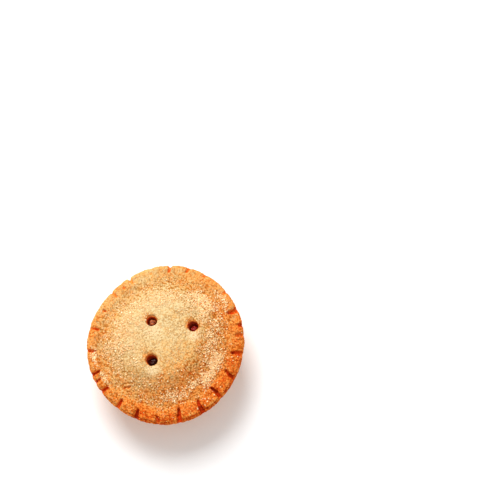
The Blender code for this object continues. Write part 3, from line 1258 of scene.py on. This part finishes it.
    @staticmethod
    def faces_between(inner: range, outer: range) -> list[tuple[int, ...]]:
        """Joins two rings.

        Args:
            inner: The indices of the ring nearer the middle of the lid.
            outer: The indices of the next ring, with as many points, twice as many or half.

        Returns:
            The faces, wound to look out.
        """
        count = min(len(inner), len(outer))
        faces = []
        for index in range(count):
            after = (index + 1) % count
            if len(inner) == len(outer):
                faces.append((inner[index], outer[index], outer[after], inner[after]))
                continue
            fine, coarse = (outer, inner) if len(outer) > len(inner) else (inner, outer)
            first, middle, last = fine[2 * index], fine[2 * index + 1], fine[2 * after]
            fan = (
                (coarse[index], first, middle),
                (coarse[index], middle, coarse[after]),
                (coarse[after], middle, last),
            )
            faces += fan if fine is outer else [corners[::-1] for corners in fan]
        return faces

    def shell(self) -> bpy.types.Mesh:
        """Makes the closed surface before its crumbs and vents.

        Returns:
            The mesh.
        """
        rings = self.rings()
        top = (0.0, 0.0, float(self.form.lid_height(np.zeros(1), np.zeros(1))[0]))
        points = np.concatenate([[top], *rings, [(0.0, 0.0, 0.0)]])
        spans, start = [], 1
        for ring in rings:
            spans.append(range(start, start + len(ring)))
            start += len(ring)
        first, last = spans[0], spans[-1]
        faces = [(0, first[i], first[(i + 1) % len(first)]) for i in range(len(first))]
        faces += [(start, last[(i + 1) % len(last)], last[i]) for i in range(len(last))]
        for inner, outer in zip(spans, spans[1:]):
            faces += self.faces_between(inner, outer)
        mesh = bpy.data.meshes.new(self.name)
        mesh.from_pydata(points.tolist(), [], faces)
        return mesh

    def relief(self, points: np.ndarray) -> np.ndarray:
        """Finds how far the crumbs, pits, cracks and the lip's seam move the surface out.

        Args:
            points: One row of x, y and z for each point.

        Returns:
            Distances in metres, below 0 where the surface moves in.
        """
        form = self.form
        height = points[:, 2]
        crumbs = self.crumb_height * (0.5 - cell_distance(points, self.crumb_size))
        ridges = self.ridge_height * soft_noise(points, self.ridge_size, NoiseLayer.RIDGES)
        from_pit = cell_distance(points, self.pit_spacing, NoiseLayer.PITS)
        pits = smooth_step(1 - from_pit / self.pit_radius)
        moved = crumbs + ridges - self.pit_depth * pits
        moved *= 1 - self.pressed_smooth * form.groove(*form.polar(points))
        on_lid = smooth_step((height - form.rim_top + form.crimp_depth) / form.crimp_depth)
        moved -= on_lid * sum(crack.depth_at(points) for crack in form.cracks)
        moved -= self.seam_depth * self.seam(points)
        return moved * smooth_step(height / form.base_edge)

    def seam(self, points: np.ndarray, above: float = 0.0) -> np.ndarray:
        """Finds how near each point is to the seam where the lid is pressed on the case.

        Args:
            points: One row of x, y and z for each point.
            above: How far up the lip from the seam to look, in radians.

        Returns:
            1 on the seam, 0 away from it.
        """
        form = self.form
        angle = np.arctan2(points[:, 1], points[:, 0])
        outward = np.hypot(points[:, 0], points[:, 1]) - form.rim_radius(angle) + form.lip_reach
        lip_turn = np.arctan2(points[:, 2] - form.rim_top + form.lip_half, np.maximum(outward, 0.0))
        wave = soft_noise(on_circle(angle, form.mean_radius, 0.0), self.seam_wave_size)
        middle = self.seam_turn + self.seam_swing * np.cos(angle - self.darker_side)
        middle += self.seam_wave * wave + above
        on_lip = smooth_step(outward / (self.seam_start * form.lip_reach))
        return on_lip * np.exp(-(((lip_turn - middle) / self.seam_width) ** 2))

    def roughen(self, mesh: bpy.types.Mesh) -> None:
        """Moves the mesh's points out and in by the relief.

        Args:
            mesh: The shell's mesh.
        """
        points = read_points(mesh)
        normals = np.empty(len(points) * 3, np.float32)
        mesh.vertex_normals.foreach_get("vector", normals)
        moved = points + normals.reshape(-1, 3) * self.relief(points)[:, None]
        mesh.vertices.foreach_set("co", moved.astype(np.float32).ravel())
        mesh.update()

    def skewer(self, vent: Vent) -> tuple[np.ndarray, list[tuple[int, ...]]]:
        """Makes the rough, flared shape that a vent takes out of the pastry.

        Args:
            vent: The vent.

        Returns:
            The shape's points, in the row frame, and its faces.
        """
        foot = -vent.depth
        tip = vent.radius_at(foot)
        heights = np.arange(foot + self.vent_tip_height * tip, self.vent_clear, self.vent_step)
        angles = np.arange(self.vent_sides) * math.tau / self.vent_sides
        profile = [(wide * tip, foot + high * tip) for wide, high in self.vent_tip]
        profile += [(vent.radius_at(height), height) for height in heights]
        points = []
        for radius, height in profile:
            flare = self.vent_flare * math.exp(min(0.0, height) / self.vent_flare_height)
            ring = on_circle(angles, radius + flare, height) + (vent.x, vent.y, 0.0)
            rough = self.vent_roughness * soft_noise(ring, self.vent_rough_size, NoiseLayer.VENTS)
            points.append(on_circle(angles, radius + flare + rough, height))
        sides = self.vent_sides
        faces = [tuple(range(sides))[::-1]]
        for level in range(len(profile) - 1):
            low = range(level * sides, (level + 1) * sides)
            high = range((level + 1) * sides, (level + 2) * sides)
            for index in range(sides):
                after = (index + 1) % sides
                faces.append((low[index], low[after], high[after], high[index]))
        faces.append(tuple(range((len(profile) - 1) * sides, len(profile) * sides)))
        place = np.array(self.form.vent_frame(vent))
        return np.concatenate(points) @ place[:3, :3].T + place[:3, 3], faces

    def poke(self, obj: bpy.types.Object) -> None:
        """Takes the vents out of the pastry.

        Args:
            obj: The pastry.
        """
        points, faces = [], []
        for vent in self.form.vents:
            more, sides = self.skewer(vent)
            start = sum(len(block) for block in points)
            points.append(more)
            faces += [tuple(start + corner for corner in side) for side in sides]
        mesh = bpy.data.meshes.new("skewers")
        mesh.from_pydata(np.concatenate(points).tolist(), [], faces)
        skewers = add_object("skewers", mesh)
        cut = obj.modifiers.new("vents", "BOOLEAN")
        cut.operation = "DIFFERENCE"
        cut.solver = "EXACT"
        cut.object = skewers
        apply_modifiers(obj)
        bpy.data.objects.remove(skewers)

    @staticmethod
    def graded(
        rows: tuple[tuple[float, float, float], ...],
        across: np.ndarray,
        from_side: np.ndarray,
    ) -> np.ndarray:
        """Reads a value that changes from the middle of the lid to its edge.

        Args:
            rows: A share of the outline, the value all round, and what one side adds.
            across: Distances from the axis as shares of the outline.
            from_side: How far each direction is from that side, in radians.

        Returns:
            The value at each point.
        """
        shares, evenly, one_side = zip(*rows)
        more = np.cos(from_side) * np.interp(across, shares, one_side)
        return np.interp(across, shares, evenly) + more

    def browning(self, points: np.ndarray) -> np.ndarray:
        """Finds how browned the pastry is, with painted light on the crimps and painted shade at the
        vents.

        Args:
            points: One row of x, y and z for each point.

        Returns:
            0 where it is pale, 0.5 where it is golden and 1 where it is dark.
        """
        form = self.form
        angle, across = form.polar(points)
        lid = self.graded(self.lid_browning, across, angle - self.darker_side)
        lid += sum(patch.at(angle, across) for patch in self.patches)
        pressed = smooth_step(form.groove(angle, across) / self.crimp_edge)
        # Painted light: the crimp floors are paler towards the side of the pie that faces the light,
        # with a narrow painted highlight where they face it most.
        lit_side = 0.5 - 0.5 * np.cos(angle - self.darker_side)
        paler = self.crimp_painted_light * lit_side + self.crimp_painted_highlight * lit_side**self.painted_highlight_narrowness
        lid += (self.crimp_browning - paler - lid) * pressed
        for crack in form.cracks:
            lid += self.crack_browning * crack.depth_at(points) / crack.depth
        share = np.clip(points[:, 2] / form.rim_top, 0.0, 1.0)
        wall = np.interp(share, *zip(*self.wall_browning))
        baked = lid + (wall - lid) * self.under_lip(points)
        baked += self.bake_sway * soft_noise(points, self.bake_size, NoiseLayer.BAKING)
        baked += self.seam_browning * self.seam(points)
        baked -= self.edge_paleness * self.seam(points, above=self.edge_turn)
        for vent in form.vents:
            baked += self.stain_and_painted_shade(vent, points)
        return baked

    def under_lip(self, points: np.ndarray) -> np.ndarray:
        """Finds which points are under the lip's widest part: 0 above it, 1 below it."""
        middle = self.form.rim_top - self.lip_turn_under * self.form.lip_half
        return smooth_step((middle - points[:, 2]) / self.lip_change)

    def coarseness(self, points: np.ndarray) -> np.ndarray:
        """Finds how strongly the crumbs stand out.

        Args:
            points: One row of x, y and z for each point.

        Returns:
            Strengths around 1, lower where the lid is smooth.
        """
        angle, across = self.form.polar(points)
        coarse = self.graded(self.lid_coarseness, across, angle - self.coarser_side)
        coarse += sum(patch.at(angle, across) for patch in self.smooth_patches)
        coarse *= 1 - self.pressed_smooth * self.form.groove(angle, across)
        coarse *= 1 - self.bloom_smooth * self.blooms(points)
        return coarse + (self.wall_coarseness - coarse) * self.under_lip(points)

    def from_axis(self, vent: Vent, points: np.ndarray) -> tuple[np.ndarray, np.ndarray]:
        """Finds where the points are along and across a vent.

        Args:
            vent: The vent.
            points: One row of x, y and z for each point.

        Returns:
            Distances from the vent's axis as shares of its radius, and heights above its mouth.
        """
        place = np.array(self.form.vent_frame(vent).inverted())
        local = points @ place[:3, :3].T + place[:3, 3]
        return np.hypot(local[:, 0], local[:, 1]) / (vent.radius * vent.width), local[:, 2]

    def bloom(self, vent: Vent, points: np.ndarray) -> np.ndarray:
        """Finds how much of a vent's pale, sugary place each point has.

        Args:
            vent: The vent.
            points: One row of x, y and z for each point.

        Returns:
            1 in the middle of the place, 0 away from it and in the vent.
        """
        from_x = points[:, 0] - vent.x - self.bloom_shift[0]
        from_y = points[:, 1] - vent.y - self.bloom_shift[1]
        near = smooth_step(1 - np.hypot(from_x, from_y) / self.bloom_radius)
        from_vent = self.from_axis(vent, points)[0] - self.bloom_start
        return near * smooth_step(from_vent / self.bloom_change)

    def blooms(self, points: np.ndarray) -> np.ndarray:
        """Finds how much of all the vents' pale, sugary places each point has."""
        return sum(self.bloom(vent, points) for vent in self.form.vents)

    def stain_and_painted_shade(self, vent: Vent, points: np.ndarray) -> np.ndarray:
        """Finds how much juice, the oven and painted shade darken the pastry in and around a vent.

        Args:
            vent: The vent.
            points: One row of x, y and z for each point.

        Returns:
            What to add to the browning.
        """
        reach, height = self.from_axis(vent, points)
        # Darker deep inside the hole: juice stains, partly painted shade of its walls.
        deep = smooth_step((self.stain_shade_lift - height) / self.stain_shade_depth)
        deep *= smooth_step((self.stain_shade_end - reach) / self.stain_shade_fade)
        # Painted shade on the side of the vent that faces away from the light.
        slope_x = vent.x - self.slope_shade_shift * vent.radius * math.cos(vent.lean_side)
        slope_y = vent.y - self.slope_shade_shift * vent.radius * math.sin(vent.lean_side)
        from_slope = np.hypot(points[:, 0] - slope_x, points[:, 1] - slope_y)
        shaded_slope = smooth_step(1 - from_slope / (self.slope_shade_reach * vent.radius))
        ring = vent.juice * smooth_step((self.juice_reach - reach) / self.juice_fade)
        above_base = smooth_step((height + 2 * vent.depth) / vent.depth)
        stain_and_painted_shade = self.hole_stain_and_shade * deep + self.slope_painted_shade * shaded_slope + ring
        return (stain_and_painted_shade - self.bloom_paleness * self.bloom(vent, points)) * above_base

    def surface(self) -> BVHTree:
        """Makes the finished surface ready for grains to be dropped on it."""
        faces = [tuple(face.vertices) for face in self.obj.data.polygons]
        return BVHTree.FromPolygons(read_points(self.obj.data).tolist(), faces)

    def build(self) -> bpy.types.Object:
        """Makes and dresses the pastry.

        Returns:
            The finished piece, which stands for the solid pastry.
        """
        mesh = self.shell()
        self.roughen(mesh)
        self.obj = add_object(self.name, mesh)
        self.poke(self.obj)
        mesh = self.obj.data
        mesh.shade_smooth()
        points = read_points(mesh)
        write_trait(mesh, Trait.BROWNING, self.browning(points))
        write_trait(mesh, Trait.COARSENESS, self.coarseness(points))
        dust = self.dustiness * self.dust_cover.thickness(points)
        write_trait(mesh, Trait.SUGAR_DUST, dust + self.bloom_dust * self.blooms(points))
        mesh.materials.clear()
        mesh.materials.append(self.material)
        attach(self.obj, ROOT_BODY)
        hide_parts("pastry")
        return self.obj


@dataclass
class Mincemeat:
    """The lump of fruit in one vent."""

    vent: Vent
    form: PieForm
    fruit: Fruit
    aside: float = 0.0
    detail: int = 5
    gap: float = 0.15 * MM
    currants: int = 11
    currant_share: tuple[float, float] = (0.42, 0.60)
    core_share: float = 0.62
    fold_size: float = 0.45 * MM
    fold: float = 0.09

    def swollen(self, direction: Vector, currants: list[tuple[Vector, float]]) -> float:
        """Finds how far the lump reaches one way.

        Args:
            direction: The way to look from the lump's middle.
            currants: The middle and the radius of each currant, as shares of the lump's radius.

        Returns:
            The reach as a share of the lump's radius.
        """
        reach = self.core_share
        for middle, radius in currants:
            along = direction.dot(middle)
            inside = along * along - middle.length_squared + radius * radius
            if inside > 0:
                reach = max(reach, along + math.sqrt(inside))
        return min(reach, 1.0)

    def build(self) -> bpy.types.Object:
        """Makes and dresses the lump.

        Returns:
            The finished piece, which stands for its solid.
        """
        vent = self.vent
        radius = vent.radius_at(-vent.depth) - self.gap
        name = f"fruit_{vent.name}"
        draw = random.Random(name)
        currants = []
        for _ in range(self.currants):
            share = draw.uniform(*self.currant_share)
            way = Vector([draw.gauss(0, 1) for _ in range(3)]).normalized()
            currants.append((way * (1 - share), share))
        mesh = bpy.data.meshes.new(name)
        ball = bmesh.new()
        bmesh.ops.create_icosphere(ball, subdivisions=self.detail, radius=1.0)
        shift = Vector((vent.x, vent.y, 0.0)) / MM
        for vertex in ball.verts:
            fold = abs(noise.noise(vertex.co * radius / self.fold_size + shift))
            wrinkle = self.fold * (1 - 2 * fold)
            vertex.co *= radius * (self.swollen(vertex.co.normalized(), currants) - wrinkle)
        lean_x, lean_y = math.cos(vent.lean_side), math.sin(vent.lean_side)
        off = Vector((-lean_x * self.aside, -lean_y * self.aside, self.gap + radius - vent.depth))
        ball.transform(self.form.vent_frame(vent) @ Matrix.Translation(off))
        ball.to_mesh(mesh)
        ball.free()
        mesh.shade_smooth()
        mesh.materials.append(StickyFruitFinish(self.fruit).material())
        obj = add_object(name, mesh)
        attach(obj, ROOT_BODY)
        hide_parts(f"mincemeat_{vent.name}")
        return obj


class GrainShape(Enum):
    """The shapes of loose grains: a blocky crystal or a rounded crumb."""

    CRYSTAL = "crystal"
    CRUMB = "crumb"

    def corners_and_sides(self) -> tuple[np.ndarray, list[tuple[int, ...]]]:
        """Makes one grain.

        Returns:
            The corners of a grain one unit across, and its sides.
        """
        grain = bmesh.new()
        if self is GrainShape.CRYSTAL:
            bmesh.ops.create_cube(grain, size=1.0)
        else:
            bmesh.ops.create_icosphere(grain, subdivisions=1, radius=0.5)
        corners = np.array([tuple(vertex.co) for vertex in grain.verts])
        sides = [tuple(vertex.index for vertex in face.verts) for face in grain.faces]
        grain.free()
        return corners, sides


@dataclass
class Scatter:
    """Grains of one kind, strewn over the lid where they lie thickest."""

    name: str
    shape: GrainShape
    cover: Cover
    material: bpy.types.Material
    count: int
    smallest: float
    largest: float
    seed: int
    sunk: float = 0.28
    small_bias: float = 1.5
    tries: int = 4000
    tried_reach: float = 1.04
    drop_height: float = 0.05
    steepest: float = 0.35
    vent_clearance: float = 1.15
    squash: tuple[float, float] = (0.65, 1.0)
    chipped: float = 0.18
    paler: float = 0.06
    spread: float = 0.14
    # Painted light and shade: how much paler a grain is at its top and darker at its foot.
    painted_light_by_height: float = 0.60

    def in_vent(self, x: float, y: float) -> bool:
        """Says whether a place is over a vent."""
        return any(vent.near(x, y, self.vent_clearance) for vent in self.cover.form.vents)

    def places(self, surface: BVHTree, draw: random.Random) -> list[tuple[Vector, Vector]]:
        """Draws where the grains lie.

        Args:
            surface: The pastry's surface.
            draw: The source of chance.

        Returns:
            Each grain's place on the surface, and the way that the surface faces there.
        """
        reach = self.cover.form.mean_radius * self.tried_reach
        found = []
        while len(found) < self.count:
            tries = np.array([[draw.uniform(-reach, reach) for _ in "xy"] for _ in range(self.tries)])
            points = np.column_stack([tries, np.full(len(tries), self.cover.form.rim_top)])
            chances = self.cover.thickness(points)
            for (x, y), chance in zip(tries, chances):
                if draw.random() > chance or self.in_vent(x, y):
                    continue
                spot, normal, _, _ = surface.ray_cast(Vector((x, y, self.drop_height)), DOWN)
                if spot and normal.z > self.steepest:
                    found.append((spot, normal))
        return found[: self.count]

    def build(self, pastry: Pastry) -> bpy.types.Object:
        """Makes and dresses the grains.

        Args:
            pastry: The pastry that they lie on.

        Returns:
            All the grains as one piece.
        """
        draw = random.Random(self.seed)
        corners, sides = self.shape.corners_and_sides()
        places = self.places(pastry.surface(), draw)
        points, faces, corner_rise = [], [], []
        for index, (spot, normal) in enumerate(places):
            share = draw.random() ** self.small_bias
            size = self.smallest + (self.largest - self.smallest) * share
            turn = Quaternion([draw.gauss(0, 1) for _ in range(4)]).normalized()
            scale = [size * draw.uniform(*self.squash) for _ in range(3)]
            chips = [[1 - self.chipped * draw.random() for _ in range(3)] for _ in corners]
            middle = spot + normal * size * (0.5 - self.sunk)
            shape = (corners * chips * scale) @ np.array(turn.to_matrix()).T
            points.append(shape + np.array(middle))
            # How far each corner stands out along the surface's normal, for the painted light and shade
            # below.
            corner_rise.append(shape @ np.array(normal) / size)
            faces += [tuple(len(corners) * index + corner for corner in side) for side in sides]
        mesh = bpy.data.meshes.new(self.name)
        mesh.from_pydata(np.concatenate(points).tolist(), [], faces)
        spots = np.array([tuple(spot) for spot, _ in places])
        browning = pastry.browning(spots) - self.paler
        browning += self.spread * np.array([draw.gauss(0, 1) for _ in places])
        # Painted light and shade: each grain is paler at its top and darker at its foot.
        browning = np.repeat(browning, len(corners)) - self.painted_light_by_height * np.concatenate(corner_rise)
        write_trait(mesh, Trait.BROWNING, browning)
        write_trait(mesh, Trait.COARSENESS, np.repeat(pastry.coarseness(spots), len(corners)))
        mesh.materials.append(self.material)
        obj = add_object(self.name, mesh)
        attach(obj, ROOT_BODY)
        return obj


@dataclass
class Studio:
    """The pale table, the soft light from the upper left, and the camera that looks down."""

    form: PieForm
    photo_side: float = 500
    pie_centre_x: float = 166.4
    pie_centre_y: float = 344.0
    pixel: float = 0.4555 * MM
    lens: float = 100.0
    sensor: float = 36.0
    elevation: float = math.radians(77)
    aim_drop: float = 2.0 * MM
    table_side: float = 4.0
    table_squares: int = 8
    key_power: float = 7.9
    key_side: float = 0.50
    key_place: tuple[float, float, float] = (-0.21, 0.51, 0.70)
    sky: float = 0.68
    sky_colour: Colour = (1.0, 1.0, 1.0)

    def build_camera(self) -> None:
        """Makes the camera and aims it so that the pie fills its place in the photograph's frame."""
        data = bpy.data.cameras.new("camera")
        data.lens = self.lens
        data.sensor_width = self.sensor
        camera = add_object("camera", data)
        per_pixel = self.sensor / self.lens / self.photo_side
        distance = self.pixel / per_pixel
        back = Vector((0, -math.cos(self.elevation), math.sin(self.elevation)))
        camera.location = Vector((0, 0, self.form.rim_top - self.aim_drop)) + back * distance
        off_x = (self.pie_centre_x - self.photo_side / 2) * per_pixel
        off_y = (self.photo_side / 2 - self.pie_centre_y) * per_pixel
        seen = Vector((off_x, off_y, -1)).normalized()
        turn = seen.rotation_difference(DOWN)
        camera.rotation_mode = "QUATERNION"
        camera.rotation_quaternion = (-back).to_track_quat("-Z", "Y") @ turn
        bpy.context.scene.camera = camera

    def build_lights(self) -> None:
        """Makes the large soft light and the even light around it."""
        data = bpy.data.lights.new("soft_light", "AREA")
        data.size = self.key_side
        data.energy = self.key_power
        light = add_object("soft_light", data)
        light.location = self.key_place
        light.rotation_mode = "QUATERNION"
        light.rotation_quaternion = (-Vector(self.key_place)).to_track_quat("-Z", "Y")
        world = bpy.data.worlds.new("studio")
        world.use_nodes = True
        background = world.node_tree.nodes["Background"]
        background.inputs["Color"].default_value = (*self.sky_colour, 1.0)
        background.inputs["Strength"].default_value = self.sky
        bpy.context.scene.world = world
        bpy.context.scene.view_settings.view_transform = "Standard"

    def build_table(self) -> bpy.types.Object:
        """Makes the table top.

        Returns:
            The table, which isn't part of the pie.
        """
        mesh = bpy.data.meshes.new("table")
        top = bmesh.new()
        squares = self.table_squares
        bmesh.ops.create_grid(top, x_segments=squares, y_segments=squares, size=self.table_side / 2)
        top.to_mesh(mesh)
        top.free()
        mesh.materials.append(TableFinish().material())
        table = add_object("table", mesh)
        return table


def main() -> None:
    """Builds the pie and the studio, piece by piece."""
    logging.basicConfig(level=logging.INFO, format="%(name)s: %(message)s")
    noise.seed_set(CRUMB_RAG_SEED)
    form = PieForm()
    sugar_cover = Cover(
        form, SUGAR_PATCHES, thinnest=0.02, rim_start=0.80, rim_share=0.10, heaps=SUGAR_HEAPS
    )
    dust_cover = Cover(form, DUST_PATCHES, thinnest=0.03, rim_start=0.80, rim_share=0.10)
    crumb_cover = Cover(form, CRUMB_PATCHES, thinnest=0.70, rim_start=0.84, rim_share=0.9)
    baked = BakedPastryFinish().material()
    pastry = Pastry(form, dust_cover, baked)
    pieces = [pastry.build()]
    upper_left, upper_right, lower_left = form.vents
    for filling in (
        Mincemeat(upper_left, form, Fruit.CANDIED_PEEL, aside=0.30 * MM),
        Mincemeat(upper_right, form, Fruit.CHERRY),
        Mincemeat(lower_left, form, Fruit.CURRANT),
    ):
        pieces.append(filling.build())
    for grains in (
        Scatter(
            "sugar",
            GrainShape.CRYSTAL,
            sugar_cover,
            SugarFinish().material(),
            count=4900,
            smallest=0.30 * MM,
            largest=0.70 * MM,
            seed=11,
        ),
        Scatter(
            "crumbs",
            GrainShape.CRUMB,
            crumb_cover,
            baked,
            count=9500,
            smallest=0.35 * MM,
            largest=0.85 * MM,
            seed=12,
            sunk=0.50,
            chipped=0.32,
        ),
    ):
        pieces.append(grains.build(pastry))
    for piece in pieces:
        LOG.info("%s has %d faces", piece.name, len(piece.data.polygons))
    studio = Studio(form)
    studio.build_table()
    studio.build_lights()
    studio.build_camera()


if __name__ == "__main__":
    main()
